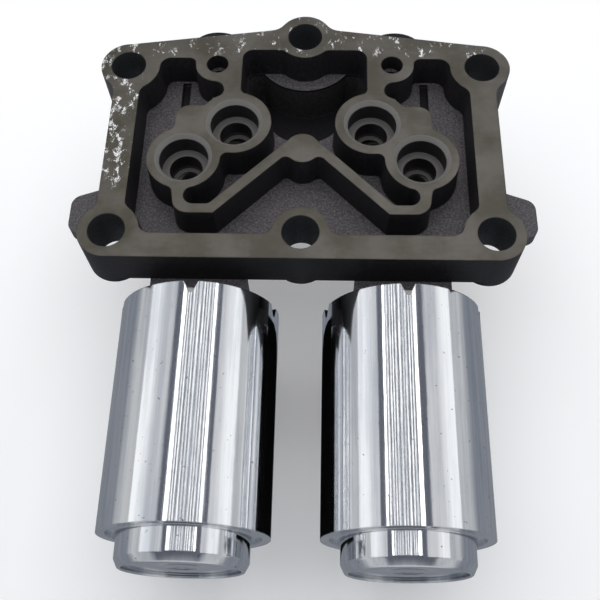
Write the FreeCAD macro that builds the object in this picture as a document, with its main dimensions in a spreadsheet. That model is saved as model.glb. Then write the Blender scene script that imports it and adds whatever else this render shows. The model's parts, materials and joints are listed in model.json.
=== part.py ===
import FreeCAD, Part
import math
import os
import Sketcher

# Dual solenoid pressure-control valve: one die-cast valve body with two solenoids side by side.
# Frame: the gasket face is the plane Z = 0 and faces +Z; the origin is the centre of the four
# corner bolt holes; +Y runs along the spool bores, away from the solenoids. Millimetres.

Vector = FreeCAD.Vector
UP = Vector(0, 0, 1)
ORIGIN = Vector(0, 0, 0)
QUARTER_TURN = 90
HALF_TURN = 180
FULL_TURN = 360
SIDES = (("left", -1), ("right", 1))
NOTCH_ANGLES = (0, -72, 72, -144, 144)
OVERSHOOT = "2"

doc = FreeCAD.newDocument("solenoid_valve")

# --------------------------------------------------------------------------------------------
# Driving dimensions
# --------------------------------------------------------------------------------------------

DIMENSIONS = {
    # bolt pattern and gasket face
    "bolt_span_x": 71.6,
    "bolt_span_y": 38.6,
    "bolt_hole_radius": 3.5,
    "rear_bolt_offset": 27.1,
    "front_boss_radius": 5.5,
    "rear_boss_radius": 5.6,
    "corner_boss_length": 10.4,
    "side_edge_x": 38.2,
    "rear_slope_rise": 4.0,
    "flange_depth": 8.8,
    "pocket_depth": 7.0,
    "wall_draft": 3.0,
    "outline_blend": 3.5,
    "rim_blend": 2.2,
    "pocket_blend": 1.4,
    # rim around the pockets
    "rim_inner_x": 33.0,
    "rim_inner_front": -19.8,
    "rim_inner_rear": 21.4,
    "central_pocket_x": 12.65,
    "central_pocket_rear": 23.6,
    "recess_depth": 16.4,
    "recess_floor": 2.2,
    "recess_wall": 2.2,
    "recess_box_top": 7.8,
    "cross_rib_length": 39.0,
    "cross_rib_width": 2.4,
    "cross_rib_height": 7.4,
    "cross_rib_y": -12.0,
    "cross_rib_z": -15.8,
    "groove_x": 24.0,
    "groove_width": 1.7,
    "groove_front": 9.8,
    "groove_rear": 20.6,
    "groove_depth": 1.0,
    "groove_overlap": 0.05,
    # ports in the gasket face
    "inner_port_x": 13.5,
    "inner_port_y": 5.3,
    "inner_ring_radius": 7.25,
    "outer_port_x": 22.9,
    "outer_port_y": -3.0,
    "outer_ring_radius": 7.1,
    "port_mouth_radius": 5.6,
    "port_radius": 4.75,
    "port_screen_depth": 4.5,
    "port_throat_radius": 3.25,
    "port_throat_depth": 8.5,
    "port_passage_radius": 2.3,
    "dowel_x": 17.7,
    "dowel_y": 19.8,
    "dowel_radius": 2.2,
    "dowel_boss_radius": 4.4,
    "dowel_depth": 3.6,
    "dowel_vent_radius": 1.4,
    "dowel_vent_depth": 8.0,
    # diagonal rib and its nose
    "rib_outer_sum": 1.0,
    "rib_inner_sum": 3.9,
    "nose_radius": 3.3,
    "nose_y": -0.7,
    # ears
    "ear_x": 45.4,
    "ear_front": -15.4,
    "ear_rear": -8.2,
    "ear_top": -6.9,
    "ear_thickness": 3.0,
    # spool barrels
    "axis_x": 19.45,
    "axis_z": -16.3,
    "collar_front": -29.0,
    "collar_rear": -23.0,
    "collar_width": 18.2,
    "collar_top": -8.8,
    "collar_height": 16.1,
    "barrel_radius": 8.3,
    "barrel_rear": 26.0,
    "plug_boss_radius": 7.2,
    "plug_boss_rear": 36.7,
    "spool_bore_radius": 5.0,
    "nose_bore_radius": 6.2,
    "nose_bore_length": 8.0,
    "plug_bore_radius": 5.3,
    "plug_bore_length": 7.6,
    # can
    "can_radius": 15.2,
    "can_wall": 1.6,
    "can_length": 42.5,
    "notch_width": 2.6,
    "notch_length": 2.2,
    "window_width": 12.4,
    "window_start": 3.8,
    "window_length": 8.0,
    # magnetic parts inside the can
    "front_plate_start": 0.6,
    "front_plate_thickness": 3.0,
    "core_radius": 6.8,
    "core_nose_radius": 6.19,
    "core_nose_length": 7.9,
    "core_length": 18.0,
    "seal_groove_radius": 4.9,
    "seal_groove_start": 3.4,
    "seal_groove_width": 2.3,
    "bush_outer_radius": 3.0,
    "rod_radius": 1.5,
    "rod_clearance": 0.03,
    "armature_radius": 6.3,
    "armature_start": 20.5,
    "armature_length": 16.0,
    "yoke_start": 39.6,
    "yoke_thickness": 2.4,
    "cup_radius": 11.7,
    "cup_wall": 1.1,
    "cup_end": 48.1,
    "cap_thickness": 0.9,
    "cap_mark_radius": 4.2,
    "hub_radius": 5.8,
    "hub_end": 44.6,
    "rear_bush_start": 39.0,
    # coil
    "bobbin_bore_radius": 6.95,
    "bobbin_tube_radius": 8.2,
    "bobbin_flange_radius": 13.3,
    "bobbin_start": 4.0,
    "bobbin_end": 39.4,
    "bobbin_flange": 1.6,
    "coil_radius": 12.8,
    # spool, spring and plug
    "spool_radius": 4.96,
    "spool_stem_radius": 2.7,
    "spool_front": -20.6,
    "spool_length": 39.4,
    "front_land_start": 2.4,
    "front_land_end": 9.0,
    "middle_land_start": 16.4,
    "middle_land_end": 19.2,
    "rear_land_start": 27.6,
    "rear_land_end": 35.4,
    "spring_seat_radius": 2.6,
    "spring_clearance": 0.05,
    "spring_radius": 3.9,
    "spring_wire": 0.45,
    "spring_length": 14.2,
    "spring_turns": 6.0,
    "plug_length": 4.4,
    "plug_clearance": 0.02,
    "plug_groove_start": 1.1,
    "plug_groove_end": 2.9,
    "plug_groove_depth": 1.2,
    "plug_dimple_radius": 2.2,
    "plug_dimple_floor": 1.6,
    "clip_thickness": 1.0,
    "clip_inner_radius": 2.6,
    # connector
    "connector_width": 16.4,
    "connector_start": 1.2,
    "connector_length": 19.0,
    "connector_top": -15.9,
    "connector_bottom": -29.5,
    "socket_depth": 9.0,
    "socket_wall": 1.8,
    "blade_width": 2.2,
    "blade_thickness": 0.8,
    "blade_pitch": 5.6,
    "blade_y": 3.6,
    "blade_tip": 2.4,
    "blade_root": 1.5,
    "stem_clearance": 0.2,
    "stem_height": 3.2,
    "latch_width": 5.0,
    "latch_height": 5.0,
    "latch_depth": 1.6,
    "latch_start": 2.0,
    "saddle_clearance": 0.1,
}

sheet = doc.addObject("Spreadsheet::Sheet", "dims")
for row, (alias, value) in enumerate(DIMENSIONS.items(), start=1):
    sheet.set(f"A{row}", alias)
    sheet.set(f"B{row}", str(value))
    sheet.setAlias(f"B{row}", alias)
expression_reader = doc.addObject("App::FeaturePython", "expression_reader")
doc.recompute()


def size(alias):
    """Value of one driving dimension."""
    return float(sheet.get(alias))


def value_of(expression):
    """Value of an expression written with the sheet's aliases."""
    return float(expression_reader.evalExpression(expression))


def dims(text):
    """Expression in which every alias is looked up in the sheet."""
    words = []
    for word in text.split(" "):
        bare = word.strip("()")
        words.append(word.replace(bare, "dims." + bare) if bare in DIMENSIONS else word)
    return " ".join(words)


def bind(item, **expressions):
    """Bind properties to expressions; a double underscore in a name stands for a dot."""
    for name, text in expressions.items():
        item.setExpression(name.replace("__", "."), dims(text))
    return item


def place(item, x="0", y="0", z="0"):
    """Bind the position of an object."""
    return bind(item, Placement__Base__x=x, Placement__Base__y=y, Placement__Base__z=z)


# --------------------------------------------------------------------------------------------
# Building blocks
# --------------------------------------------------------------------------------------------


def combine(kind, name, first, *others):
    """Part::Cut of two objects, or Part::MultiFuse of several."""
    result = doc.addObject(kind, name)
    if kind == "Part::Cut":
        result.Base, result.Tool = first, others[0]
    else:
        result.Shapes = [first, *others]
        result.Refine = True
    return result


def cut_all(name, base, tools):
    """One body with several tools taken out of it."""
    return combine("Part::Cut", name, base, combine("Part::MultiFuse", name + "_tools", *tools))


def upright_cylinder(name, radius, height, x, y, z):
    """Cylinder along Z."""
    item = doc.addObject("Part::Cylinder", name)
    bind(item, Radius=radius, Height=height)
    return place(item, x, y, z)


def lengthwise_cylinder(name, radius, height, x, y, z):
    """Cylinder along Y, its first end at y."""
    item = upright_cylinder(name, radius, height, x, y, z)
    item.Placement.Rotation = FreeCAD.Rotation(Vector(1, 0, 0), -QUARTER_TURN)
    return item


def block(name, length, width, height, x, y, z):
    """Box with its lowest corner at (x, y, z)."""
    item = doc.addObject("Part::Box", name)
    bind(item, Length=length, Width=width, Height=height)
    return place(item, x, y, z)


def turned(name, profile, towards_rear):
    """Solid of revolution about Y from (radius, distance) corners given as expressions."""
    body = doc.addObject("PartDesign::Body", name)
    sketch = body.newObject("Sketcher::SketchObject", name + "_profile")
    plane = [item for item in body.Origin.OriginFeatures if item.Role == "XY_Plane"][0]
    sketch.AttachmentSupport = [(plane, "")]
    sketch.MapMode = "FlatFace"
    corners = [Vector(value_of(dims(r)), value_of(dims(a)), 0) for r, a in profile]
    count = len(corners)
    for index in range(count):
        sketch.addGeometry(Part.LineSegment(corners[index], corners[(index + 1) % count]), False)
    for index in range(count):
        sketch.addConstraint(Sketcher.Constraint("Coincident", index, 2, (index + 1) % count, 1))
    for index, (radius, distance) in enumerate(profile):
        for kind, coordinate, text in (
            ("DistanceX", corners[index].x, radius),
            ("DistanceY", corners[index].y, distance),
        ):
            number = sketch.addConstraint(Sketcher.Constraint(kind, -1, 1, index, 1, coordinate))
            sketch.setExpression(f"Constraints[{number}]", dims(text))
    revolution = body.newObject("PartDesign::Revolution", name + "_revolution")
    revolution.Profile = sketch
    revolution.ReferenceAxis = (sketch, ["V_Axis"])
    revolution.Angle = FULL_TURN
    body.Tip = revolution
    if not towards_rear:
        body.Placement.Rotation = FreeCAD.Rotation(UP, HALF_TURN)
    return body


def ring_profile(inner, outer, start, end):
    """Corners of a plain ring's section."""
    return [(inner, start), (outer, start), (outer, end), (inner, end)]


# Flat outlines: plain solids of unit height, joined and cut, whose floor face is the outline.


def disc(x, y, radius):
    return Part.makeCylinder(radius, 1, Vector(x, y, 0))


def rectangle(x0, y0, x1, y1):
    return Part.makeBox(x1 - x0, y1 - y0, 1, Vector(x0, y0, 0))


def polygon(*corners):
    closed = [Vector(x, y, 0) for x, y in corners + corners[:1]]
    return Part.Face(Part.makePolygon(closed)).extrude(UP)


def both_sides(shapes):
    return shapes + [shape.mirror(ORIGIN, Vector(1, 0, 0)) for shape in shapes]


def union(shapes):
    return shapes[0].fuse(shapes[1:]).removeSplitter()


def outlines(solid):
    """Floor faces of a unit-height solid, largest first, without slivers."""
    least_area, level = 5, 1e-6
    floor = [face for face in solid.Faces if abs(face.CenterOfMass.z) < level]
    return sorted([face for face in floor if face.Area > least_area], key=lambda face: -face.Area)


def offset(face, distance):
    """The outline moved outwards, or inwards if distance is negative."""
    return face.makeOffset2D(distance, join=0).Faces[0]


def extruded(name, face, height, z="0", direction=UP):
    """Part::Extrusion of an outline from z, upwards unless another direction is given."""
    profile = doc.addObject("Part::Feature", name + "_outline")
    profile.Shape = face
    result = doc.addObject("Part::Extrusion", name)
    result.Base = profile
    result.DirMode = "Custom"
    result.Dir = direction
    result.Solid = True
    bind(result, LengthFwd=height)
    return place(result, z=z)


def drafted_pocket(name, face):
    """Cutter of a cast pocket: the outline at the gasket face, its walls leaning in below it."""
    prism = extruded(name + "_prism", face, "pocket_depth", direction=-UP)
    body = doc.addObject("PartDesign::Body", name)
    body.BaseFeature = prism
    doc.recompute()
    base = body.Group[0]
    middle = -size("pocket_depth") / 2
    heights = {
        f"Face{number}": wall.CenterOfMass.z - middle
        for number, wall in enumerate(base.Shape.Faces, start=1)
    }
    reach = max(heights.values())
    draft = body.newObject("PartDesign::Draft", name + "_draft")
    draft.Base = (base, [key for key, height in heights.items() if abs(height) < reach / 2])
    draft.NeutralPlane = (base, [key for key, height in heights.items() if height == reach])
    bind(draft, Angle="wall_draft")
    body.Tip = draft
    return body


# --------------------------------------------------------------------------------------------
# Valve body: outlines
# --------------------------------------------------------------------------------------------

bolt_x = size("bolt_span_x") / 2
bolt_y = size("bolt_span_y") / 2
rear_bolt_y = size("rear_bolt_offset")
inner_port = (size("inner_port_x"), size("inner_port_y"))
outer_port = (size("outer_port_x"), size("outer_port_y"))


def gasket_face_outline():
    """Outer edge: straight front, waisted sides, rear edge rising to the rear centre boss."""
    front = -bolt_y - size("front_boss_radius")
    rear = bolt_y + size("rear_boss_radius")
    edge_x = size("side_edge_x")
    peak_x = 6.2
    corner_cut = edge_x - bolt_x
    half = [
        (bolt_x, front),
        (edge_x, front + corner_cut),
        (edge_x, rear - corner_cut),
        (bolt_x, rear),
        (peak_x, rear + size("rear_slope_rise")),
    ]
    plate = polygon(*half, *[(-x, y) for x, y in reversed(half)])
    bosses = both_sides(
        [
            disc(bolt_x, -bolt_y, size("front_boss_radius")),
            disc(bolt_x, bolt_y, size("rear_boss_radius")),
        ]
    )
    centre_boss = disc(0, rear_bolt_y, size("front_boss_radius"))
    outline = outlines(union([plate, centre_boss, *bosses]))[0]
    blend = size("outline_blend")
    return offset(offset(outline, blend), -blend)


def finger_gap():
    """Narrow end of the central pocket between the outer port ring and the hook."""
    gap_x, gap_y, gap_radius = 20.3, -11.55, 1.9
    inner_sum = size("rib_inner_sum")
    low_y = gap_y - gap_radius
    fan = polygon(
        (gap_x, low_y),
        (gap_x, gap_y + gap_radius),
        outer_port,
        inner_port,
        (0, inner_port[1]),
        (0, inner_sum),
        (inner_sum - low_y, low_y),
    )
    return union([disc(gap_x, gap_y, gap_radius), fan])


def hook_and_rib():
    """Diagonal rib that turns round the end of the finger gap and back to the outer ring."""
    outer_sum = size("rib_outer_sum")
    corner_x, corner_y, corner_radius = 21.2, -12.4, 3.0
    low_y = corner_y - corner_radius
    shoulder_x, shoulder_y = 24.6, -9.9
    tangent = size("nose_radius") / math.sqrt(2)
    strip = polygon(
        (outer_sum - low_y, low_y),
        (corner_x, low_y),
        (corner_x, corner_y),
        (corner_x + corner_radius, corner_y),
        (shoulder_x, shoulder_y),
        (shoulder_x, outer_port[1]),
        (outer_port[0] - 4, outer_port[1] + 4),
        (tangent, size("nose_y") + tangent),
        (0, size("nose_y")),
        (0, outer_sum),
    )
    return union([strip, disc(corner_x, corner_y, corner_radius)]).cut(finger_gap())


def neck():
    """Bridge from the inner port ring past the dowel hole to the rear rim."""
    inner_x = size("central_pocket_x")
    rear = size("central_pocket_rear") + 1
    dowel_x, dowel_y = size("dowel_x"), size("dowel_y")
    notch_x, notch_y, notch_radius = 18.1, 13.3, 2.1
    web = rectangle(inner_x, inner_port[1] + 1.5, notch_x, rear)
    boss_block = rectangle(dowel_x, dowel_y, dowel_x + size("dowel_boss_radius"), rear)
    boss = disc(dowel_x, dowel_y, size("dowel_boss_radius"))
    notch = [
        disc(notch_x, notch_y, notch_radius),
        rectangle(notch_x, notch_y - notch_radius, notch_x + 8, notch_y + notch_radius),
    ]
    return union([web, boss_block, boss]).cut(notch)


def lobe():
    """Flat shoulder beside the inner port ring."""
    lobe_x, lobe_y, lobe_radius = 22.4, 6.5, 2.8
    return union(
        [
            rectangle(19.5, outer_port[1], lobe_x + lobe_radius, lobe_y),
            rectangle(18.0, outer_port[1], lobe_x, lobe_y + lobe_radius),
            disc(lobe_x, lobe_y, lobe_radius),
        ]
    )


def islands():
    """Everything inside the rim that reaches the gasket face."""
    return both_sides(
        [
            disc(*inner_port, size("inner_ring_radius")),
            disc(*outer_port, size("outer_ring_radius")),
            neck(),
            lobe(),
            hook_and_rib(),
        ]
    ) + [disc(0, size("nose_y"), size("nose_radius"))]


def pocket_outlines():
    """The outer pocket, which runs round three sides, and the central pocket."""
    rim_x = size("rim_inner_x")
    centre_x = size("central_pocket_x")
    front_clearance, rear_clearance, centre_clearance = 6.0, 6.4, 5.3
    room = union(
        [
            rectangle(-rim_x, size("rim_inner_front"), rim_x, size("rim_inner_rear")),
            rectangle(-centre_x, 0, centre_x, size("central_pocket_rear")),
        ]
    )
    boss_walls = both_sides(
        [disc(bolt_x, -bolt_y, front_clearance), disc(bolt_x, bolt_y, rear_clearance)]
    ) + [disc(0, -bolt_y, centre_clearance), disc(0, rear_bolt_y, size("front_boss_radius"))]
    rim_blend, blend = size("rim_blend"), size("pocket_blend")
    rim_edge = offset(offset(outlines(room.cut(boss_walls))[0], -rim_blend), rim_blend)
    faces = outlines(rim_edge.extrude(UP).cut(islands()))
    return [offset(offset(face, -blend), blend) for face in faces]


def recess_outline(central):
    """Deep part of the central pocket: a round front, and a ledge round the rear bolt boss."""
    front_y, front_radius = 13.8, 8.4
    shoulder_y = 8.8
    ledge_y, ledge_radius = 18.9, 10.8
    wide_x = size("central_pocket_x") + 1
    rear = size("central_pocket_rear") + 0.5
    ledge = disc(0, ledge_y + ledge_radius, ledge_radius)
    bay = union([rectangle(-wide_x, shoulder_y, wide_x, rear), disc(0, front_y, front_radius)])
    return outlines(bay.common(central.extrude(UP)).cut(ledge))[0]


# --------------------------------------------------------------------------------------------
# Valve body: solids
# --------------------------------------------------------------------------------------------


def pocket_cutters(outer, central, recess):
    """Drafted cutters of the two pockets, the deep recess and the floor grooves."""
    cutters = []
    for name, face in (("outer_pocket", outer), ("central_pocket", central)):
        cutters.append(drafted_pocket(name, face))
        cutters.append(extruded(name + "_mouth", face, OVERSHOOT, "0"))
    overlap = "0.5"
    recess_height = f"recess_depth - pocket_depth + {overlap}"
    cutters.append(extruded("deep_recess", recess, recess_height, "0 - recess_depth"))
    for side, x in (("left", "0 - groove_x - groove_width"), ("right", "groove_x")):
        cutters.append(
            block(
                side + "_groove",
                "groove_width",
                "groove_rear - groove_front",
                "groove_depth + groove_overlap",
                x,
                "groove_front",
                "0 - pocket_depth - groove_depth",
            )
        )
    return cutters


def port_cutters(side, sign):
    """Stepped screen ports, dowel hole and bolt holes of one side."""
    cutters = []
    mouth_depth = "port_mouth_radius - port_radius"
    for name in ("inner_port", "outer_port"):
        x, y = f"{sign} * {name}_x", f"{name}_y"
        for step, radius, depth in (
            ("screen", "port_radius", "port_screen_depth"),
            ("throat", "port_throat_radius", "port_throat_depth"),
            ("passage", "port_passage_radius", "0 - axis_z"),
        ):
            cutters.append(
                upright_cylinder(
                    f"{side}_{name}_{step}", radius, f"{depth} + 1", x, y, f"0 - ( {depth} )"
                )
            )
        mouth = doc.addObject("Part::Cone", f"{side}_{name}_mouth")
        bind(mouth, Radius1="port_radius", Radius2="port_mouth_radius", Height=mouth_depth)
        cutters.append(place(mouth, x, y, f"0 - ( {mouth_depth} )"))
    x, y = f"{sign} * dowel_x", "dowel_y"
    for step in ("dowel", "dowel_vent"):
        cutters.append(
            upright_cylinder(
                f"{side}_{step}", f"{step}_radius", f"{step}_depth + 1", x, y, f"0 - {step}_depth"
            )
        )
    for row, y in (("front", "0 - bolt_span_y / 2"), ("rear", "bolt_span_y / 2")):
        cutters.append(bolt_hole(f"{side}_{row}_hole", f"{sign} * bolt_span_x / 2", y))
    return cutters


def bolt_hole(name, x, y):
    """Bolt hole through a boss."""
    length = f"corner_boss_length + 2 * {OVERSHOOT}"
    start = f"0 - corner_boss_length - {OVERSHOOT}"
    return upright_cylinder(name, "bolt_hole_radius", length, x, y, start)


def bore_cutters(side, sign):
    """Spool bore with the solenoid nose bore in front and the plug bore behind."""
    x, z = f"{sign} * axis_x", "axis_z"
    return [
        lengthwise_cylinder(
            f"{side}_spool_bore",
            "spool_bore_radius",
            f"plug_boss_rear - collar_front + {OVERSHOOT}",
            x,
            "collar_front - 1",
            z,
        ),
        lengthwise_cylinder(
            f"{side}_nose_bore",
            "nose_bore_radius",
            "nose_bore_length + 1",
            x,
            "collar_front - 1",
            z,
        ),
        lengthwise_cylinder(
            f"{side}_plug_bore",
            "plug_bore_radius",
            "plug_bore_length + 1",
            x,
            "plug_boss_rear - plug_bore_length",
            z,
        ),
    ]


def barrel(side, sign):
    """Flat-topped collar, round barrel and rear plug boss of one spool bore."""
    x, z = f"{sign} * axis_x", "axis_z"
    collar = block(
        f"{side}_collar",
        "collar_width",
        "collar_rear - ( collar_front )",
        "collar_height",
        f"{x} - collar_width / 2",
        "collar_front",
        "collar_top - collar_height",
    )
    sections = (
        ("barrel", "barrel_radius", "collar_rear", "barrel_rear"),
        ("plug_boss", "plug_boss_radius", "barrel_rear", "plug_boss_rear"),
    )
    return [collar] + [
        lengthwise_cylinder(f"{side}_{name}", radius, f"{end} - ( {start} )", x, start, z)
        for name, radius, start, end in sections
    ]


def ear(side, sign):
    """Flat ear at the front corner, rounded at its outer corners."""
    root_x, corner = 30.0, 2.4
    front, rear = size("ear_front"), size("ear_rear")
    tip_x = size("ear_x")
    rear_slope = 2.6
    plan = polygon(
        (root_x, front - 4.0),
        (size("side_edge_x"), front - 3.0),
        (tip_x, front),
        (tip_x, rear),
        (size("side_edge_x"), rear + rear_slope),
        (root_x, rear + rear_slope),
    )
    face = offset(offset(outlines(plan)[0], -corner), corner)
    if sign < 0:
        face = face.mirror(ORIGIN, Vector(1, 0, 0))
    return extruded(f"{side}_ear", face, "ear_thickness", "ear_top - ear_thickness")


def valve_body():
    """The casting: flange, bosses, recess box, rib, ears and barrels, with everything cut from it."""
    clearance = 0.05
    lean = size("pocket_depth") * math.tan(math.radians(size("wall_draft")))
    outer, central = pocket_outlines()
    recess = recess_outline(offset(central, -lean - clearance))
    recess_box = offset(recess, size("recess_wall"))
    additions = [
        extruded("flange", gasket_face_outline(), "flange_depth", "0 - flange_depth"),
        extruded(
            "recess_box",
            recess_box,
            "recess_depth + recess_floor - recess_box_top",
            "0 - recess_depth - recess_floor",
        ),
        block(
            "cross_rib",
            "cross_rib_length",
            "cross_rib_width",
            "cross_rib_height",
            "0 - cross_rib_length / 2",
            "cross_rib_y",
            "cross_rib_z",
        ),
    ]
    cutters = pocket_cutters(outer, central, recess)
    for side, sign in SIDES:
        x = f"{sign} * bolt_span_x / 2"
        for row, y in (("front", "0 - bolt_span_y / 2"), ("rear", "bolt_span_y / 2")):
            additions.append(
                upright_cylinder(
                    f"{side}_{row}_boss",
                    f"{row}_boss_radius",
                    "corner_boss_length - 1",
                    x,
                    y,
                    "0 - corner_boss_length",
                )
            )
        additions.append(ear(side, sign))
        additions.extend(barrel(side, sign))
        cutters.extend(port_cutters(side, sign))
        cutters.extend(bore_cutters(side, sign))
    for name, y in (("front", "0 - bolt_span_y / 2"), ("rear", "rear_bolt_offset")):
        additions.append(
            upright_cylinder(
                f"centre_{name}_boss",
                "front_boss_radius",
                "corner_boss_length - 1",
                "0",
                y,
                "0 - corner_boss_length",
            )
        )
        cutters.append(bolt_hole(f"centre_{name}_hole", "0", y))
    solid = combine("Part::MultiFuse", "casting_blank", *additions)
    return cut_all("valve_body", solid, cutters)


# --------------------------------------------------------------------------------------------
# Solenoid pieces, turned about the solenoid's axis; distances run from the can's casting end
# --------------------------------------------------------------------------------------------


def place_solenoid(item, sign):
    """Put a piece on the solenoid's axis, at the can's casting end."""
    return place(item, f"{sign} * axis_x", "collar_front", "axis_z")


def can(side, sign):
    """Drawn steel can with staking notches round its casting end and a window underneath."""
    shell = turned(
        side + "_can_shell",
        ring_profile("can_radius - can_wall", "can_radius", "0", "can_length"),
        towards_rear=False,
    )
    place_solenoid(shell, sign)
    notch_half, notch_length = size("notch_width") / 2, size("notch_length")
    flat_bottom, lip = 0.35, 1
    notch_plan = polygon(
        (-notch_half, lip),
        (-notch_half, 0),
        (-flat_bottom, -notch_length),
        (flat_bottom, -notch_length),
        (notch_half, 0),
        (notch_half, lip),
    )
    notch_face = outlines(notch_plan)[0]
    tools = []
    for index, angle in enumerate(NOTCH_ANGLES):
        notch = extruded(f"{side}_notch_{index}", notch_face, f"can_radius + {OVERSHOOT}")
        notch.Placement.Rotation = FreeCAD.Rotation(Vector(0, 1, 0), sign * angle)
        tools.append(place_solenoid(notch, sign))
    tools.append(
        block(
            side + "_window",
            "window_width",
            "window_length",
            "can_radius",
            f"{sign} * axis_x - window_width / 2",
            "collar_front - window_start - window_length",
            f"axis_z - can_radius - {OVERSHOOT}",
        )
    )
    return cut_all(side + "_can", shell, tools)


def solenoid_rings(side, sign):
    """Pieces of the solenoid that are plain solids of revolution."""
    nose_end = "0 - core_nose_length"
    core = [
        ("bush_outer_radius", nose_end),
        ("core_nose_radius - 0.5", nose_end),
        ("core_nose_radius", nose_end + " + 0.5"),
        ("core_nose_radius", "0 - seal_groove_start - seal_groove_width"),
        ("seal_groove_radius", "0 - seal_groove_start - seal_groove_width"),
        ("seal_groove_radius", "0 - seal_groove_start"),
        ("core_nose_radius", "0 - seal_groove_start"),
        ("core_nose_radius", "0"),
        ("core_radius", "0"),
        ("core_radius", "core_length"),
        ("armature_radius - 1.4", "core_length"),
        ("bush_outer_radius", "core_length - 2"),
    ]
    cup_inner = "cup_radius - cup_wall"
    yoke = [
        ("bush_outer_radius", "rear_bush_start"),
        ("hub_radius", "rear_bush_start"),
        ("hub_radius", "yoke_start"),
        ("can_radius - can_wall", "yoke_start"),
        ("can_radius - can_wall", "yoke_start + yoke_thickness"),
        ("cup_radius + 0.5", "yoke_start + yoke_thickness"),
        ("cup_radius", "yoke_start + yoke_thickness + 0.5"),
        ("cup_radius", "cup_end - 1.2"),
        ("cup_radius - 0.9", "cup_end"),
        ("cup_radius - 1.7", "cup_end"),
        (cup_inner, "cup_end - 0.6"),
        (cup_inner, "yoke_start + yoke_thickness"),
        ("hub_radius", "yoke_start + yoke_thickness"),
        ("hub_radius", "hub_end"),
        ("bush_outer_radius", "hub_end"),
    ]
    bobbin = [
        ("bobbin_bore_radius", "bobbin_start"),
        ("bobbin_flange_radius", "bobbin_start"),
        ("bobbin_flange_radius", "bobbin_start + bobbin_flange"),
        ("bobbin_tube_radius", "bobbin_start + bobbin_flange"),
        ("bobbin_tube_radius", "bobbin_end - bobbin_flange"),
        ("bobbin_flange_radius", "bobbin_end - bobbin_flange"),
        ("bobbin_flange_radius", "bobbin_end"),
        ("bobbin_bore_radius", "bobbin_end"),
    ]
    armature_end = "armature_start + armature_length"
    armature = [
        ("rod_radius", "armature_start"),
        ("armature_radius - 1.4", "armature_start"),
        ("armature_radius", "armature_start + 1"),
        ("armature_radius", armature_end + " - 0.6"),
        ("armature_radius - 0.6", armature_end),
        ("rod_radius", armature_end),
    ]
    rod_front = "collar_front - spool_front"
    rod = [
        ("0", rod_front),
        ("rod_radius - 0.4", rod_front),
        ("rod_radius", rod_front + " + 0.4"),
        ("rod_radius", "hub_end - 1.4"),
        ("rod_radius - 0.4", "hub_end - 1"),
        ("0", "hub_end - 1"),
    ]
    cap_start = "cup_end - 0.6 - cap_thickness"
    cap = [
        ("0", cap_start),
        (cup_inner, cap_start),
        (cup_inner, "cup_end - 0.6"),
        ("cap_mark_radius", "cup_end - 0.6"),
        ("cap_mark_radius - 0.3", "cup_end - 0.45"),
        ("0", "cup_end - 0.45"),
    ]
    bush_bore = "rod_radius + rod_clearance"
    bush = "bush_outer_radius"
    seal_radius = "( nose_bore_radius - seal_groove_radius ) / 2"
    profiles = {
        "pole_core": core,
        "rear_yoke": yoke,
        "cap_disc": cap,
        "coil_bobbin": bobbin,
        "armature": armature,
        "push_rod": rod,
        "front_plate": ring_profile(
            "core_radius",
            "can_radius - can_wall",
            "front_plate_start",
            "front_plate_start + front_plate_thickness",
        ),
        "coil_winding": ring_profile(
            "bobbin_tube_radius",
            "coil_radius",
            "bobbin_start + bobbin_flange",
            "bobbin_end - bobbin_flange",
        ),
        "front_bush": ring_profile(bush_bore, bush, "0 - core_nose_length + 1", "4"),
        "rear_bush": ring_profile(bush_bore, bush, "rear_bush_start", "hub_end"),
    }
    pieces = [
        place_solenoid(turned(f"{side}_{name}", profile, towards_rear=False), sign)
        for name, profile in profiles.items()
    ]
    pieces.append(
        o_ring(
            f"{side}_nose_o_ring",
            sign,
            "seal_groove_radius",
            seal_radius,
            "collar_front + seal_groove_start + seal_groove_width / 2",
        )
    )
    return pieces


def o_ring(name, sign, groove_radius, section, y):
    """Seal ring that fills the gap between its groove and the bore."""
    ring = doc.addObject("Part::Torus", name)
    bind(ring, Radius1=f"{groove_radius} + {section}", Radius2=section)
    ring.Placement.Rotation = FreeCAD.Rotation(Vector(1, 0, 0), QUARTER_TURN)
    return place(ring, f"{sign} * axis_x", y, "axis_z")


# --------------------------------------------------------------------------------------------
# Connector
# --------------------------------------------------------------------------------------------


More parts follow.
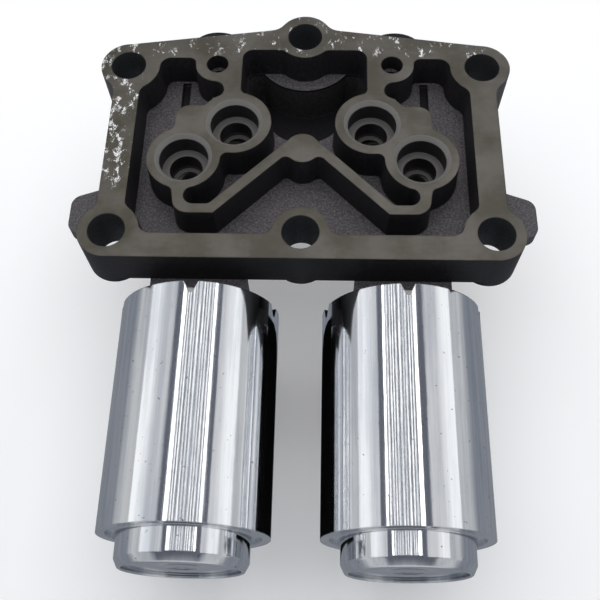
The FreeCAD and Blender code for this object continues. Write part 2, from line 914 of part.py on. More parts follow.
def connector(side, sign):
    """Housing that hangs from the can's window, its socket open downwards, and two blades."""
    centre = f"{sign} * axis_x"
    front_y = "collar_front - connector_start - connector_length"
    middle_y = "collar_front - window_start - window_length / 2"
    shell_top = "axis_z + connector_top"
    shell = block(
        side + "_connector_shell",
        "connector_width",
        "connector_length",
        "connector_top - connector_bottom",
        f"{centre} - connector_width / 2",
        front_y,
        "axis_z + connector_bottom",
    )
    stem = block(
        side + "_connector_stem",
        "window_width - 2 * stem_clearance",
        "window_length - 2 * stem_clearance",
        "stem_height",
        f"{centre} - window_width / 2 + stem_clearance",
        "collar_front - window_start - window_length + stem_clearance",
        shell_top + " - stem_clearance",
    )
    inner_room = lengthwise_cylinder(
        side + "_connector_saddle",
        "bobbin_flange_radius + saddle_clearance",
        "can_length",
        centre,
        "collar_front - can_length",
        "axis_z",
    )
    socket = block(
        side + "_socket",
        "connector_width - 2 * socket_wall",
        "connector_length - 2 * socket_wall",
        "socket_depth + 1",
        f"{centre} - connector_width / 2 + socket_wall",
        front_y + " + socket_wall",
        "axis_z + connector_bottom - 1",
    )
    rib = block(
        side + "_latch_rib",
        "latch_width",
        "latch_depth",
        "latch_height",
        f"{centre} - latch_width / 2",
        front_y + " - latch_depth",
        "axis_z + connector_bottom + latch_start",
    )
    blade_height = "socket_depth + blade_root"
    blades = []
    slots = []
    for index, step in enumerate((-1, 1)):
        spots = (
            f"{centre} + {step} * blade_pitch / 2 - blade_width / 2",
            middle_y + " - blade_y",
            "axis_z + connector_bottom + blade_tip",
        )
        sizes = ("blade_width", "blade_thickness", blade_height)
        blades.append(block(f"{side}_blade_{index}", *sizes, *spots))
        slots.append(block(f"{side}_slot_{index}", *sizes, *spots))
    housing = combine("Part::MultiFuse", side + "_connector_blank", shell, stem, rib)
    housing = cut_all(side + "_connector", housing, [inner_room, socket, *slots])
    terminals = doc.addObject("Part::Compound", side + "_terminals")
    terminals.Links = blades
    return [housing, terminals]


# --------------------------------------------------------------------------------------------
# Hydraulic pieces in the casting; distances run from the spool's front end towards the rear
# --------------------------------------------------------------------------------------------


def spool_profile():
    """Three lands on a stem, with a spring seat at the rear."""
    profile = [("0", "0"), ("spool_stem_radius - 0.4", "0"), ("spool_stem_radius", "0.4")]
    for land in ("front_land", "middle_land", "rear_land"):
        profile += [
            ("spool_stem_radius", land + "_start"),
            ("spool_radius", land + "_start"),
            ("spool_radius", land + "_end"),
            ("spool_stem_radius", land + "_end"),
        ]
    return profile[:-1] + [
        ("spring_seat_radius", "rear_land_end"),
        ("spring_seat_radius", "spool_length"),
        ("0", "spool_length"),
    ]


def spring(side, sign):
    """Return spring between the spool's rear shoulder and the plug."""
    wire = size("spring_wire")
    radius = size("spring_radius")
    length = size("spring_length") - 2 * wire
    helix = Part.makeHelix(length / size("spring_turns"), length, radius)
    section = Part.Wire(Part.makeCircle(wire, Vector(radius, 0, 0), Vector(0, 1, 0)))
    coil = Part.Wire(helix).makePipeShell([section], True, True)
    piece = doc.addObject("Part::Feature", side + "_spool_spring")
    piece.Shape = coil
    piece.Placement.Rotation = FreeCAD.Rotation(Vector(1, 0, 0), -QUARTER_TURN)
    start = "spool_front + rear_land_end + spring_wire + spring_clearance"
    return place(piece, f"{sign} * axis_x", start, "axis_z")


def hydraulic_pieces(side, sign):
    """Spool, return spring, bore plug with its seal, and retaining clip of one bore."""
    centre = f"{sign} * axis_x"
    spool = turned(side + "_spool", spool_profile(), towards_rear=True)
    place(spool, centre, "spool_front", "axis_z")
    plug_front = "plug_boss_rear - plug_bore_length"
    plug_outer = "plug_bore_radius - plug_clearance"
    groove_radius = "plug_bore_radius - plug_groove_depth"
    plug = turned(
        side + "_bore_plug",
        [
            ("0", "0"),
            (plug_outer, "0"),
            (plug_outer, "plug_groove_start"),
            (groove_radius, "plug_groove_start"),
            (groove_radius, "plug_groove_end"),
            (plug_outer, "plug_groove_end"),
            (plug_outer, "plug_length"),
            ("plug_dimple_radius", "plug_length"),
            ("plug_dimple_floor", "plug_length - 1"),
            ("0", "plug_length - 1"),
        ],
        towards_rear=True,
    )
    place(plug, centre, plug_front, "axis_z")
    seal_y = plug_front + " + ( plug_groove_start + plug_groove_end ) / 2"
    seal = o_ring(side + "_plug_o_ring", sign, groove_radius, "plug_groove_depth / 2", seal_y)
    clip = turned(
        side + "_plug_clip",
        [
            ("clip_inner_radius", "0"),
            (plug_outer, "0"),
            (plug_outer, "clip_thickness"),
            ("clip_inner_radius", "clip_thickness"),
        ],
        towards_rear=True,
    )
    place(clip, centre, plug_front + " + plug_length", "axis_z")
    return [spool, spring(side, sign), plug, seal, clip]


# --------------------------------------------------------------------------------------------
# Assembly and export
# --------------------------------------------------------------------------------------------

pieces = [valve_body()]
for side, sign in SIDES:
    pieces.append(can(side, sign))
    pieces.extend(solenoid_rings(side, sign))
    pieces.extend(connector(side, sign))
    pieces.extend(hydraulic_pieces(side, sign))

for piece in pieces:
    piece.Label = piece.Name
doc.recompute()

for item in doc.Objects:
    if "Invalid" in item.State or "Error" in item.State:
        raise RuntimeError(f"{item.Name} did not compute: {item.State}")
for piece in pieces:
    if piece.Shape.isNull() or not piece.Shape.isValid():
        raise RuntimeError(f"{piece.Label} has a bad shape")

os.makedirs("parts", exist_ok=True)
for piece in pieces:
    piece.Shape.exportStep(f"parts/{piece.Label}.step")
    print(f"{piece.Label}: {piece.Shape.Volume:.1f} mm3, {len(piece.Shape.Solids)} solid(s)")
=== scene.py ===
import json
import math

import bmesh
import bpy
from mathutils import Matrix, Vector


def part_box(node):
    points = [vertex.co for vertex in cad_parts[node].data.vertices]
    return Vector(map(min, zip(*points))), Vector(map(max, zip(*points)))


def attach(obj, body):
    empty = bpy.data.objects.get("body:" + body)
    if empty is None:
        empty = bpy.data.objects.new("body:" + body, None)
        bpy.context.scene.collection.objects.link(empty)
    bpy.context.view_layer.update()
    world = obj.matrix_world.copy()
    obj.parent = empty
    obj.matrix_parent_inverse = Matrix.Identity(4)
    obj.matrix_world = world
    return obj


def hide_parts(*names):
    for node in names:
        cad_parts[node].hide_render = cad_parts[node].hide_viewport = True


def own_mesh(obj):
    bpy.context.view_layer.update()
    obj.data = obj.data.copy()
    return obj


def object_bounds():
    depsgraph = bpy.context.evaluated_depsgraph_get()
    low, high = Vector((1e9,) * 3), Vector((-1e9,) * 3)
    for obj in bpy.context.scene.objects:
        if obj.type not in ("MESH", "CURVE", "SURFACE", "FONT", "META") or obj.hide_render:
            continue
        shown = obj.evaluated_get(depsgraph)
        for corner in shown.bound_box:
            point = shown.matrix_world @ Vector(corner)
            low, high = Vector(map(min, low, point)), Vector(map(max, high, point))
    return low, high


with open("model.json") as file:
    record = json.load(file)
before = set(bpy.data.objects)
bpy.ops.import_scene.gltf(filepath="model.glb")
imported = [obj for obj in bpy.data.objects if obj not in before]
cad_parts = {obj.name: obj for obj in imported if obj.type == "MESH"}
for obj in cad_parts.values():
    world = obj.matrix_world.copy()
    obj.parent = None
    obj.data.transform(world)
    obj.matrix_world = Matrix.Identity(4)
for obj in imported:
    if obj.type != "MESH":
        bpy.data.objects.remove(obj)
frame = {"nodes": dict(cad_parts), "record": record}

cad_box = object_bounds()
SIDES = {"left": -1, "right": 1}
MM = 0.001
EDGE = 0.25 * MM
CAST_EDGE = 0.45 * MM

# --------------------------------------------------------------------------------------------
# Places on the part
# --------------------------------------------------------------------------------------------


def axis_of(node):
    """Centre of a turned node's box in X and Z."""
    low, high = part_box(node)
    return (low.x + high.x) / 2, (low.z + high.z) / 2


resting_height = cad_box[0].z

# Centres of the casting's openings in X and Y, mirrored in X, and how far their looks reach.
PORTS = ((13.5 * MM, 5.3 * MM), (22.9 * MM, -3.0 * MM))
PORT_REACH = 5.7 * MM
BOLTS = ((35.8 * MM, -19.3 * MM), (35.8 * MM, 19.3 * MM), (0.0, -19.3 * MM), (0.0, 27.1 * MM))
BOLT_REACH = 3.56 * MM

# Limits of the casting's regions. Pairs run from where a look starts to where it is full.
FACE_DEPTH = 0.15 * MM
PALE_SIDE_X = (-36 * MM, -10 * MM)
WORN_LEFT_X = (-30.5 * MM, -35.5 * MM)
WORN_REAR_Y = (20.5 * MM, 23.0 * MM)
WORN_FRONT_Y = (-14 * MM, -6 * MM)
# The deep recess floor and its grooves within these limits get painted shade.
WELL_X = 28 * MM
WELL_Y = (1.0 * MM, 2.0 * MM)
WELL_Z = (-7.3 * MM, -7.7 * MM)
# Walls in the pockets, and walls facing the front below FRONT_WALL_Y, get painted shade.
POCKETS_X = 34 * MM
POCKETS_Y = (-21 * MM, 25 * MM)
POCKETS_Z = -7.6 * MM
FRONT_WALL_Y = -20 * MM


# --------------------------------------------------------------------------------------------
# Material building blocks
# --------------------------------------------------------------------------------------------


class Nodes:
    """A node tree with short calls for the nodes used here."""

    def __init__(self, tree):
        self.tree = tree
        self.coordinates = tree.nodes.new("ShaderNodeTexCoord").outputs

    def put(self, item, socket, value):
        """Links an output to a socket, or sets the socket to a number or colour."""
        if isinstance(value, bpy.types.NodeSocket):
            self.tree.links.new(value, item.inputs[socket])
        else:
            item.inputs[socket].default_value = value

    def math(self, operation, first, second=0.0, clamp=False):
        item = self.tree.nodes.new("ShaderNodeMath")
        item.operation = operation
        item.use_clamp = clamp
        self.put(item, 0, first)
        self.put(item, 1, second)
        return item.outputs[0]

    def above(self, value, limit):
        return self.math("GREATER_THAN", value, limit)

    def below(self, value, limit):
        return self.math("LESS_THAN", value, limit)

    def product(self, first, *others):
        for other in others:
            first = self.math("MULTIPLY", first, other)
        return first

    def split(self, vector):
        item = self.tree.nodes.new("ShaderNodeSeparateXYZ")
        self.put(item, 0, vector)
        return item.outputs

    def ramp(self, value, low, high):
        """0 below low, 1 above high, smooth between."""
        item = self.tree.nodes.new("ShaderNodeMapRange")
        item.interpolation_type = "SMOOTHSTEP"
        self.put(item, "Value", value)
        self.put(item, "From Min", low)
        self.put(item, "From Max", high)
        return item.outputs["Result"]

    def blend(self, kind, sockets, share, first, second):
        """Mix node of a kind, with its sockets for the share, the two inputs and the result."""
        item = self.tree.nodes.new("ShaderNodeMix")
        item.data_type = kind
        for socket, value in zip(sockets, (share, first, second)):
            self.put(item, socket, value)
        return item.outputs[sockets[-1]]

    def mix(self, share, first, second):
        """From the first colour to the second as share goes from 0 to 1."""
        return self.blend("RGBA", (0, 6, 7, 2), share, first, second)

    def mix_value(self, share, first, second):
        """From the first number to the second as share goes from 0 to 1."""
        return self.blend("FLOAT", (0, 2, 3, 0), share, first, second)


class Shader(Nodes):
    """A material's nodes. Uniform values are set on the shader by name."""

    def __init__(self, name, **sockets):
        self.material = bpy.data.materials.new(name)
        self.material.use_nodes = True
        super().__init__(self.material.node_tree)
        self.surface = self.tree.nodes["Principled BSDF"]
        for socket, value in sockets.items():
            self.surface.inputs[socket.replace("_", " ")].default_value = value
        self.place = self.coordinates["Object"]
        self.normal = self.coordinates["Normal"]

    def stretched(self, x, y, z):
        """Object coordinates scaled along each axis."""
        item = self.tree.nodes.new("ShaderNodeVectorMath")
        item.operation = "MULTIPLY"
        self.put(item, 0, self.place)
        self.put(item, 1, (x, y, z))
        return item.outputs[0]

    def noise(self, vector, scale, detail=4.0, roughness=0.55):
        item = self.tree.nodes.new("ShaderNodeTexNoise")
        self.put(item, "Vector", vector)
        self.put(item, "Scale", scale)
        self.put(item, "Detail", detail)
        self.put(item, "Roughness", roughness)
        return item.outputs["Fac"]

    def bump(self, height, strength, distance, edge=EDGE):
        """Bump over edges softened to a small radius."""
        soft = self.tree.nodes.new("ShaderNodeBevel")
        self.put(soft, "Radius", edge)
        item = self.tree.nodes.new("ShaderNodeBump")
        self.put(item, "Normal", soft.outputs[0])
        self.put(item, "Height", height)
        self.put(item, "Strength", strength)
        self.put(item, "Distance", distance)
        return item.outputs[0]

    def near(self, across, y, spots, reach):
        """1 inside a circle of the given reach round any of the spots."""
        result = None
        for spot_x, spot_y in spots:
            dx = self.math("SUBTRACT", across, spot_x)
            dy = self.math("SUBTRACT", y, spot_y)
            square = self.math("ADD", self.product(dx, dx), self.product(dy, dy))
            inside = self.below(square, reach * reach)
            result = inside if result is None else self.math("MAXIMUM", result, inside)
        return result

    def finish(self, colour=None, roughness=None, metallic=None, normal=None):
        for socket, value in (
            ("Base Color", colour),
            ("Roughness", roughness),
            ("Metallic", metallic),
            ("Normal", normal),
        ):
            if value is not None:
                self.put(self.surface, socket, value)
        return self.material


def grey(value):
    return (value, value, value, 1.0)


# --------------------------------------------------------------------------------------------
# Materials
# --------------------------------------------------------------------------------------------


def cast_material():
    """Dark casting: machined gasket face with bare scuffs, speckled floors, darker walls, and
    painted shade on the pocket walls, the front wall, the bolt holes and the deep recess floor.
    """
    s = Shader("cast_aluminium_dark")
    # How squarely a surface must face up to count as the machined face, a floor and so on.
    face_up, floor_up, drilled_up, chamfer_up = 0.9, 0.75, 0.5, 0.3
    x, y, z = s.split(s.place)
    _, normal_y, up = s.split(s.normal)
    across = s.math("ABSOLUTE", x)
    on_face = s.product(s.above(z, -FACE_DEPTH), s.above(up, face_up))
    in_port = s.near(across, y, PORTS, PORT_REACH)
    in_bolt = s.near(across, y, BOLTS, BOLT_REACH)

    grain = s.noise(s.place, 2600.0, 3.0)
    cloud = s.noise(s.place, 90.0, 5.0)
    tool_marks = s.noise(s.stretched(0.25, 1.0, 1.0), 1500.0, 2.0)
    fine_grain = s.ramp(grain, 0.35, 0.7)

    # The machined face, paler towards the right, and its bare scuffs near the left and rear rims.
    face_dark, face_pale = (0.078, 0.071, 0.052, 1), (0.155, 0.143, 0.126, 1)
    pale_side = s.product(s.ramp(x, *PALE_SIDE_X), 0.35)
    pale_share = s.math("ADD", s.ramp(cloud, 0.35, 0.65), pale_side)
    face = s.mix(s.math("MULTIPLY", pale_share, 0.75, clamp=True), face_dark, face_pale)
    rear_rim = s.product(s.ramp(y, *WORN_REAR_Y), 0.72)
    worn = s.math("MAXIMUM", s.ramp(x, *WORN_LEFT_X), rear_rim)
    worn = s.product(worn, s.ramp(y, *WORN_FRONT_Y))
    patches = s.noise(s.stretched(1.3, 0.75, 1.0), 380.0, 8.0, 0.78)
    flecks = s.noise(s.stretched(1.0, 0.6, 1.0), 1500.0, 6.0, 0.75)
    scuffs = s.ramp(s.math("ADD", patches, s.product(worn, 0.13)), 0.662, 0.690)
    bare = s.product(scuffs, s.ramp(flecks, 0.44, 0.52), s.ramp(worn, 0.25, 0.6))
    bare_metal = (0.92, 0.92, 0.90, 1)
    face = s.mix(bare, face, bare_metal)

    # Floors: speckled, with painted shade making the deep recess floor and its grooves near black,
    # paler on the port steps.
    floor_dark, floor_pale = (0.050, 0.046, 0.050, 1), (0.135, 0.124, 0.132, 1)
    well_painted_shade, port_step = (0.006, 0.006, 0.008, 1), (0.15, 0.145, 0.135, 1)
    # Mask for the painted shade on the deep recess floor and its grooves.
    well = s.product(s.ramp(z, *WELL_Z), s.ramp(y, *WELL_Y), s.below(across, WELL_X))
    floor = s.mix(fine_grain, floor_dark, floor_pale)
    floor = s.mix(s.product(well, s.above(up, 0)), floor, well_painted_shade)
    floor = s.mix(s.product(in_port, 0.75), floor, port_step)

    # Walls: painted shade in the pockets, on the front wall towards the cans and in the bolt holes,
    # paler elsewhere, with bare chamfers.
    painted_shade_dark, painted_shade_pale = (0.010, 0.010, 0.012, 1), (0.028, 0.027, 0.030, 1)
    open_dark, open_pale = (0.040, 0.037, 0.039, 1), (0.100, 0.093, 0.097, 1)
    # The chamfer colour is bare metal; the bolt hole colour is painted shade.
    chamfer_metal, drilled_hole_shade = (0.17, 0.165, 0.155, 1), (0.03, 0.032, 0.036, 1)
    # Pocket walls get painted shade.
    pocket = s.product(
        s.below(across, POCKETS_X),
        s.below(y, POCKETS_Y[1]),
        s.above(y, POCKETS_Y[0]),
        s.above(z, POCKETS_Z),
    )
    # Walls facing the front, towards the cans, get painted shade.
    front = s.product(s.ramp(normal_y, -0.25, -0.85), s.below(y, FRONT_WALL_Y))
    painted_wall_shade = s.mix(s.ramp(grain, 0.4, 0.7), painted_shade_dark, painted_shade_pale)
    open_wall = s.mix(fine_grain, open_dark, open_pale)
    wall = s.mix(s.math("MAXIMUM", pocket, front), open_wall, painted_wall_shade)
    wall = s.mix(s.product(s.above(up, chamfer_up), in_port), wall, chamfer_metal)
    # Bolt hole walls get painted shade.
    wall = s.mix(s.product(in_bolt, s.below(up, drilled_up)), wall, drilled_hole_shade)

    is_floor = s.above(s.math("ABSOLUTE", up), floor_up)
    colour = s.mix(on_face, s.mix(is_floor, wall, floor), face)
    face_rough = s.mix_value(bare, s.mix_value(s.ramp(tool_marks, 0.3, 0.7), 0.36, 0.5), 0.22)
    cast_rough = s.mix_value(s.ramp(grain, 0.3, 0.7), 0.48, 0.66)
    roughness = s.mix_value(on_face, cast_rough, face_rough)
    metallic = s.mix_value(on_face, 0.35, 0.8)
    cast_bump = s.product(grain, s.math("SUBTRACT", 1.0, on_face))
    face_bump = s.product(s.math("ADD", tool_marks, bare), s.product(on_face, 0.12))
    normal = s.bump(s.math("ADD", cast_bump, face_bump), 0.5, 0.12 * MM, CAST_EDGE)
    return s.finish(colour, roughness, metallic, normal)


def plated_material():
    """Bright zinc plate on drawn steel: lengthwise draw lines, faint pits and hairlines."""
    s = Shader("bright_zinc_plate", Metallic=1.0)
    x, _, z = s.split(s.place)
    axis_x, axis_z = axis_of("right_can")
    from_axis = s.math("SUBTRACT", s.math("ABSOLUTE", x), axis_x)
    angle = s.math("ARCTAN2", from_axis, s.math("SUBTRACT", z, axis_z))
    line_count, wander = 62.0, 2.6
    drift = s.product(s.noise(s.stretched(0.4, 1.0, 0.4), 260.0, 3.0), wander)
    lines = s.math("SINE", s.math("ADD", s.product(angle, line_count), drift))
    waviness = s.noise(s.stretched(1.0, 0.12, 1.0), 520.0, 4.0)
    specks = s.ramp(s.noise(s.place, 1400.0, 2.0), 0.70, 0.76)
    stain = s.noise(s.stretched(1.0, 0.35, 1.0), 95.0, 6.0, 0.65)
    end_face = s.math("ABSOLUTE", s.split(s.normal)[1])
    streak = s.mix_value(end_face, s.noise(s.stretched(1.0, 0.03, 1.0), 900.0, 3.0), 0.5)
    tone = s.math("ADD", s.product(stain, 0.45), s.product(streak, 0.55))
    tone = s.ramp(tone, 0.38, 0.62)
    zinc_dark, zinc_pale = (0.63, 0.655, 0.69, 1), (0.83, 0.835, 0.84, 1)
    pit = (0.10, 0.10, 0.11, 1)
    colour = s.mix(s.product(specks, 0.75), s.mix(tone, zinc_dark, zinc_pale), pit)
    roughness = s.mix_value(tone, 0.11, 0.055)
    height = s.math("ADD", s.product(lines, 0.15), waviness)
    normal = s.bump(height, 0.22, 0.035 * MM)
    return s.finish(colour, roughness, None, normal)


def turned_material(name, dark, pale, rough, ring_scale):
    """Bare metal with fine turning marks and a little stain."""
    s = Shader(name, Metallic=1.0)
    marked = rough + 0.14
    marks = s.noise(s.stretched(0.05, 1.0, 0.05), ring_scale, 3.0)
    stain = s.noise(s.place, 160.0, 4.0)
    colour = s.mix(s.ramp(stain, 0.3, 0.7), dark, pale)
    roughness = s.mix_value(s.ramp(marks, 0.3, 0.7), rough, marked)
    return s.finish(colour, roughness, None, s.bump(marks, 0.25, 0.03 * MM))


def winding_material():
    """Enamelled copper wire, layer wound: fine turns across the axis."""
    s = Shader("enamelled_copper", Metallic=0.85, Roughness=0.3)
    y = s.split(s.place)[1]
    wire_pitch = 0.32 * MM
    turns = s.math("SINE", s.product(y, 2 * math.pi / wire_pitch))
    stain = s.noise(s.place, 300.0, 3.0)
    # The darker colour in the gaps between turns is painted shade; the crest colour is the wire's
    # own.
    turn_gap_shade, crest, stained = (0.18, 0.05, 0.02, 1), (0.62, 0.22, 0.09, 1), (0.35, 0.13, 0.05, 1)
    colour = s.mix(s.ramp(turns, -0.9, 0.4), turn_gap_shade, crest)
    colour = s.mix(s.product(stain, 0.3), colour, stained)
    return s.finish(colour, None, None, s.bump(turns, 0.6, 0.08 * MM))


def moulded_material(name, dark, pale, rough):
    """Moulded plastic or rubber with a fine texture."""
    s = Shader(name)
    matt = rough + 0.12
    fine = s.noise(s.place, 3200.0, 3.0)
    cloud = s.noise(s.place, 140.0, 3.0)
    colour = s.mix(s.ramp(cloud, 0.3, 0.7), dark, pale)
    roughness = s.mix_value(s.ramp(fine, 0.3, 0.7), rough, matt)
    return s.finish(colour, roughness, None, s.bump(fine, 0.35, 0.04 * MM))


def make_materials():
    """One material for each of the record's slots."""
    # Name, dark and pale colours, roughness and, for turned metal, the scale of its marks.
    turned = {
        "core_iron": ("turned_iron", grey(0.30), grey(0.42), 0.28, 2400.0),
        "ground_steel": ("ground_steel", grey(0.48), grey(0.60), 0.16, 5200.0),
        "bush_bronze": (
            "sintered_bronze", (0.36, 0.22, 0.09, 1), (0.52, 0.34, 0.15, 1), 0.38, 3000.0
        ),
        "tinned_brass": ("tinned_brass", (0.60, 0.58, 0.50, 1), (0.74, 0.71, 0.60, 1), 0.2, 4200.0),
        "anodised_aluminium": (
            "anodised_spool", (0.16, 0.17, 0.15, 1), (0.24, 0.25, 0.22, 1), 0.32, 3600.0
        ),
        "plug_aluminium": ("turned_aluminium", grey(0.5), grey(0.64), 0.25, 2600.0),
    }
    moulded = {
        "natural_plastic": ("natural_nylon", (0.50, 0.44, 0.30, 1), (0.60, 0.54, 0.40, 1), 0.42),
        "black_plastic": ("black_nylon", grey(0.018), grey(0.03), 0.40),
        "seal_rubber": ("seal_rubber", grey(0.010), grey(0.018), 0.52),
    }
    return {
        "cast_aluminium": cast_material(),
        "plated_steel": plated_material(),
        "copper_wire": winding_material(),
        **{slot: turned_material(*look) for slot, look in turned.items()},
        **{slot: moulded_material(*look) for slot, look in moulded.items()},
    }


# --------------------------------------------------------------------------------------------
# Meshes
# --------------------------------------------------------------------------------------------

SHARP_ANGLE = math.radians(32)
ON_AXIS = 0.0001 * MM


def smooth(item):
    """Smooth shading with crisp edges."""
    for face in item.data.polygons:
        face.use_smooth = True
    item.data.set_sharp_from_angle(angle=SHARP_ANGLE)


def build(name, mesh):
    """Turns a mesh under construction into a smoothed object in the scene."""
    data = bpy.data.meshes.new(name)
    mesh.to_mesh(data)
    mesh.free()
    item = bpy.data.objects.new(name, data)
    bpy.context.scene.collection.objects.link(item)
    smooth(item)
    return item


def sheet(name, corners, material):
    """A single flat face in the scene."""
    mesh = bpy.data.meshes.new(name)
    mesh.from_pydata(corners, [], [(0, 1, 2, 3)])
    mesh.materials.append(material)
    item = bpy.data.objects.new(name, mesh)
    bpy.context.scene.collection.objects.link(item)
    return item


def rounded_profile(corners, steps=5):
    """Outline of (radius, distance, rounding) corners with each corner rounded by an arc."""
    points = []
    count = len(corners)
    for index, (radius, distance, rounding) in enumerate(corners):
        corner = Vector((radius, distance))
        if rounding == 0:
            points.append(corner)
            continue
        before = Vector(corners[index - 1][:2]) - corner
        after = Vector(corners[(index + 1) % count][:2]) - corner
        half_turn = before.angle(after) / 2
        reach = rounding / math.tan(half_turn)
        start = corner + before.normalized() * reach
        end = corner + after.normalized() * reach
        bisector = (before.normalized() + after.normalized()).normalized()
        centre = corner + bisector * (rounding / math.sin(half_turn))
        first = start - centre
        sweep = first.angle_signed(end - centre)
        for step in range(steps + 1):
            turn = Matrix.Rotation(-sweep * step / steps, 2)
            points.append(centre + turn @ first)
    return points


def lathe(name, corners, node, segments=192):
    """Closed ring or solid turned about the Y axis through a CAD node's centre."""
    centre_x, centre_z = axis_of(node)
    profile = rounded_profile(corners)
    mesh = bmesh.new()
    rows = []
    for point in profile:
        radius = point.x
        if radius < ON_AXIS:
            rows.append([mesh.verts.new((centre_x, point.y, centre_z))])
            continue
        row = []
        for index in range(segments):
            angle = 2 * math.pi * index / segments
            x, z = centre_x + radius * math.sin(angle), centre_z + radius * math.cos(angle)
            row.append(mesh.verts.new((x, point.y, z)))
        rows.append(row)
    closed = all(len(row) > 1 for row in rows)
    pairs = list(zip(rows, rows[1:])) + ([(rows[-1], rows[0])] if closed else [])
    for first, second in pairs:
        for index in range(segments):
            after = (index + 1) % segments
            corners_of_face = []
            for row, place in ((first, index), (first, after), (second, after), (second, index)):
                vertex = row[place % len(row)]
                if vertex not in corners_of_face:
                    corners_of_face.append(vertex)
            if len(corners_of_face) > 2:
                mesh.faces.new(corners_of_face)
    bmesh.ops.recalc_face_normals(mesh, faces=mesh.faces)
    return build(name, mesh)


def stand_in(item, node, slot):
    """The piece takes a CAD node's place, body and finish."""
    item.data.materials.clear()
    item.data.materials.append(materials[slot])
    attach(item, node_body[node])
    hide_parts(node)


# --------------------------------------------------------------------------------------------
# Pieces
# --------------------------------------------------------------------------------------------


def dress_cad_nodes():
    """Every CAD node gets its slot's material and smooth shading."""
    slots = {part["node"]: part["material_slot"] for part in frame["record"]["subparts"]}
    for name, item in frame["nodes"].items():
        item.data.materials.clear()
        item.data.materials.append(materials[slots[name]])
        smooth(item)


def end_cup(side):
    """Rear yoke: end plate, round cup, and the cup's mouth rolled over the cap disc."""
    node = f"{side}_rear_yoke"
    low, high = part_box(node)
    can_low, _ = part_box(f"{side}_can")
    plate = (high.x - low.x) / 2
    end = low.y
    plate_back = can_low.y + 0.5 * MM
    plate_front = plate_back + 2.4 * MM
    cup, wall = 11.7 * MM, 1.1 * MM
    bore, hub = 3.0 * MM, 5.8 * MM
    hub_end = end + 3.5 * MM
    corners = [
        (bore, high.y, 0),
        (hub, high.y, 0),
        (hub, plate_front, 0),
        (plate, plate_front, 0),
        (plate, plate_back, 0.2 * MM),
        (cup, plate_back, 0.45 * MM),
        (cup, end + 1.5 * MM, 0.9 * MM),
        (cup - 0.75 * MM, end, 0.4 * MM),
        (cup - 1.7 * MM, end, 0.18 * MM),
        (cup - wall, end + 0.6 * MM, 0),
        (cup - wall, plate_back, 0),
        (hub, plate_back, 0),
        (hub, hub_end, 0),
        (bore, hub_end, 0),
    ]
    return lathe(f"{side}_end_cup", corners, node)


def end_disc(side):
    """Cap disc: flat, with a faint round coining mark and a shallow groove near its edge."""
    node = f"{side}_cap_disc"
    low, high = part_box(node)
    radius = (high.x - low.x) / 2
    face = low.y + 0.15 * MM
    groove, groove_reach = radius - 1.5 * MM, 0.25 * MM
    mark, mark_reach = 3.4 * MM, 0.3 * MM
    dip = 0.05 * MM
    corners = [
        (0, high.y, 0),
        (radius, high.y, 0),
        (radius, face, 0),
        (groove + groove_reach, face, 0),
        (groove, face + dip, 0),
        (groove - groove_reach, face, 0),
        (mark + mark_reach, face, 0),
        (mark, face + dip, 0),
        (mark - mark_reach, face, 0),
        (0, face, 0),
    ]
    return lathe(f"{side}_end_disc", corners, node)


def return_spring(side):
    """Gives the spool spring, which shortens towards the bore plug as its spool slides back, a mesh
    of its own.
    """
    node = f"{side}_spool_spring"
    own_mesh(frame["nodes"][node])


def rounded_box(mesh, low, high, rounding):
    """Adds a box with rounded edges to a mesh under construction."""
    made = bmesh.ops.create_cube(mesh, size=1)
    low, high = Vector(low), Vector(high)
    centre, extent = (low + high) / 2, high - low
    for vertex in made["verts"]:
        vertex.co = Vector(map(lambda c, e, v: c + e * v, centre, extent, vertex.co))
    edges = list(dict.fromkeys(edge for vertex in made["verts"] for edge in vertex.link_edges))
    bmesh.ops.bevel(mesh, geom=edges, offset=rounding, segments=3, profile=0.5, affect="EDGES")


def connector_trim(side):
    """Grip ribs, mouth lip and latch rails moulded on the connector's housing."""
    low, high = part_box(f"{side}_connector")
    latch_depth, shell_height = 1.6 * MM, 13.6 * MM
    lip_height, lip_reach, lip_lift = 1.8 * MM, 0.45 * MM, 0.3 * MM
    rib_count, rib_reach = 5, 0.5 * MM
    rail_offset, rail_reach, rail_depth = 5.2 * MM, 0.7 * MM, 0.9 * MM
    proud, corner, rib_corner = 0.5 * MM, 0.3 * MM, 0.25 * MM

    front, rear = low.y + latch_depth, high.y
    centre = (low.x + high.x) / 2
    lip_foot = low.z + lip_lift
    lip_top = lip_foot + lip_height
    shell_top = low.z + shell_height
    rib_foot, rib_top = lip_top + 1.4 * MM, shell_top - 1.6 * MM
    rail_top = shell_top - 2.4 * MM
    mesh = bmesh.new()
    for x in (low.x, high.x):
        start, end = (x - lip_reach, front, lip_foot), (x + lip_reach, rear, lip_top)
        rounded_box(mesh, start, end, corner)
    for y in (front, rear):
        start, end = (low.x, y - lip_reach, lip_foot), (high.x, y + lip_reach, lip_top)
        rounded_box(mesh, start, end, corner)
    pitch = (rear - front) / (rib_count + 1)
    for index in range(1, rib_count + 1):
        y = front + pitch * index
        for x in (low.x, high.x):
            start, end = (x - proud, y - rib_reach, rib_foot), (x + proud, y + rib_reach, rib_top)
            rounded_box(mesh, start, end, rib_corner)
    for x in (centre - rail_offset, centre + rail_offset):
        start = (x - rail_reach, front - rail_depth, lip_top)
        rounded_box(mesh, start, (x + rail_reach, front + proud, rail_top), corner)
    item = build(f"{side}_connector_trim", mesh)
    item.data.materials.append(materials["black_plastic"])
    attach(item, node_body[f"{side}_connector"])


# --------------------------------------------------------------------------------------------
# Studio
# --------------------------------------------------------------------------------------------


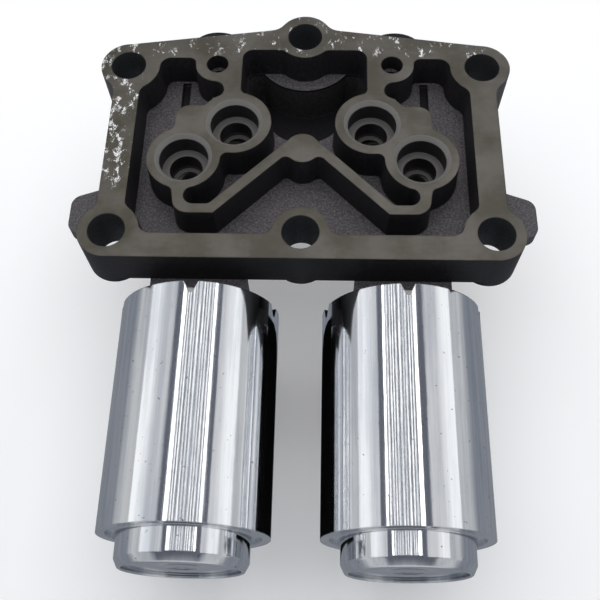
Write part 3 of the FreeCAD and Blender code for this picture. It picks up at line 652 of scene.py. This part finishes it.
def studio_floor():
    """Pale matt floor under the part. Left out of shine, and lit a little by its own glow."""
    s = Shader("studio_floor", Roughness=0.6, Specular_IOR_Level=0.2, Emission_Strength=0.16)
    tone = s.noise(s.place, 6.0, 2.0)
    s.finish(s.mix(tone, grey(0.86), grey(0.90)))
    half = 3.0
    corners = [(-half, -half, 0), (half, -half, 0), (half, half, 0), (-half, half, 0)]
    floor = sheet("floor", corners, s.material)
    floor.location.z = resting_height
    floor.visible_glossy = False


def hang_lamp(name, place, width, length, radiance):
    """Rectangular lamp of a given brightness, facing straight down, unseen by the camera."""
    data = bpy.data.lights.new(name, "AREA")
    data.shape = "RECTANGLE"
    data.size, data.size_y = width, length
    data.energy = radiance * math.pi * width * length
    lamp = bpy.data.objects.new(name, data)
    lamp.location = place
    lamp.visible_camera = False
    bpy.context.scene.collection.objects.link(lamp)
    return lamp


def studio_lamps(lens):
    """Fine tubes between two bright ones, a pale panel each side, and a soft fill above.

    All but the fill hang over the casting, level with the lens and centred near it in X, so
    that the cans shine where the photograph's cans do.
    """
    bank_x, middle_y = lens.x - 7 * MM, 45 * MM
    tube_length, tube_pitch, tube_width = 230 * MM, 11 * MM, 4.6 * MM
    rim_offset, rim_width = 59 * MM, 12 * MM
    panel_start, panel_width, panel_length = 90 * MM, 260 * MM, 340 * MM
    fill_width, fill_height = 500 * MM, 450 * MM
    tube_glow, rim_glow, panel_glow, fill_glow = 1.5, 2.6, 0.54, 1.5

    def hang(name, offset, width, length, radiance, height=lens.z):
        place = (bank_x + offset, middle_y, height)
        return hang_lamp(name, place, width, length, radiance)

    for index in range(-4, 5):
        hang(f"tube_{index + 4}", index * tube_pitch, tube_width, tube_length, tube_glow)
    for name, side in SIDES.items():
        panel_offset = side * (panel_start + panel_width / 2)
        hang(f"{name}_rim", side * rim_offset, rim_width, tube_length, rim_glow)
        hang(f"{name}_panel", panel_offset, panel_width, panel_length, panel_glow)
    fill = hang("fill", 0, fill_width, fill_width, fill_glow, fill_height)
    fill.visible_glossy = False


def studio_room():
    """Surroundings by direction: dim overhead, pale at the sides and ends, dim again below."""
    dim_top, pale_side, pale_low = (0.13, 0.14, 0.17), (0.50, 0.52, 0.545), (0.60, 0.61, 0.625)
    dim_low, dim_foot, pale_end = (0.25, 0.27, 0.31), (0.22, 0.235, 0.265), (0.62, 0.63, 0.65, 1)
    stops = (
        (0.00, dim_top),
        (0.24, dim_top),
        (0.30, pale_side),
        (0.47, pale_low),
        (0.55, dim_low),
        (1.00, dim_foot),
    )
    world = bpy.data.worlds.new("pale_room")
    bpy.context.scene.world = world
    world.use_nodes = True
    n = Nodes(world.node_tree)
    x, y, z = n.split(n.coordinates["Generated"])
    from_zenith = n.math("DIVIDE", n.math("ARCTAN2", n.math("ABSOLUTE", x), z), math.pi)
    bands = n.tree.nodes.new("ShaderNodeValToRGB")
    n.put(bands, 0, from_zenith)
    elements = bands.color_ramp.elements
    while len(elements) < len(stops):
        elements.new(0.5)
    for element, (position, colour) in zip(elements, stops):
        element.position = position
        element.color = (*colour, 1)
    at_end = n.ramp(n.math("ABSOLUTE", y), 0.66, 0.92)
    background = n.tree.nodes["Background"]
    n.put(background, "Color", n.mix(at_end, bands.outputs[0], pale_end))
    n.put(background, "Strength", 1.0)


def flag():
    """Black card between the cans, seen only in their shine: a dark sheet standing in for the shade
    between them.
    """
    s = Shader("flag_cloth", Roughness=0.9, Specular_IOR_Level=0.0)
    s.finish(s.mix(s.noise(s.place, 400.0), grey(0.004), grey(0.012)))
    low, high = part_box("left_can")
    top, foot = (low.z + high.z) / 2 + 3 * MM, resting_height
    corners = [(0, low.y, foot), (0, high.y, foot), (0, high.y, top), (0, low.y, top)]
    card = sheet("flag", corners, s.material)
    card.visible_camera = card.visible_diffuse = card.visible_shadow = False


def studio_camera():
    """Camera in front of and above the cans, looking down at the gasket face."""
    lens = Vector((3.76, -95.61, 132.07)) * MM
    pitch, yaw, roll = math.radians(64.64), math.radians(3.23), math.radians(-2.18)
    data = bpy.data.cameras.new("camera")
    data.lens = 49.88
    data.sensor_width = 36
    data.clip_start = 0.01
    camera = bpy.data.objects.new("camera", data)
    camera.matrix_world = (
        Matrix.Translation(lens)
        @ Matrix.Rotation(yaw, 4, "Z")
        @ Matrix.Rotation(math.pi / 2 - pitch, 4, "X")
        @ Matrix.Rotation(roll, 4, "Z")
    )
    bpy.context.scene.collection.objects.link(camera)
    bpy.context.scene.camera = camera
    return lens


# --------------------------------------------------------------------------------------------
# Scene
# --------------------------------------------------------------------------------------------

node_body = {
    node: body
    for body, nodes in frame["record"]["behaviour"]["bodies"].items()
    for node in nodes
}
materials = make_materials()
dress_cad_nodes()
for side in SIDES:
    stand_in(end_cup(side), f"{side}_rear_yoke", "plated_steel")
    stand_in(end_disc(side), f"{side}_cap_disc", "plated_steel")
    connector_trim(side)
    return_spring(side)
studio_floor()
studio_lamps(studio_camera())
studio_room()
flag()
bpy.context.scene.view_settings.view_transform = "Standard"
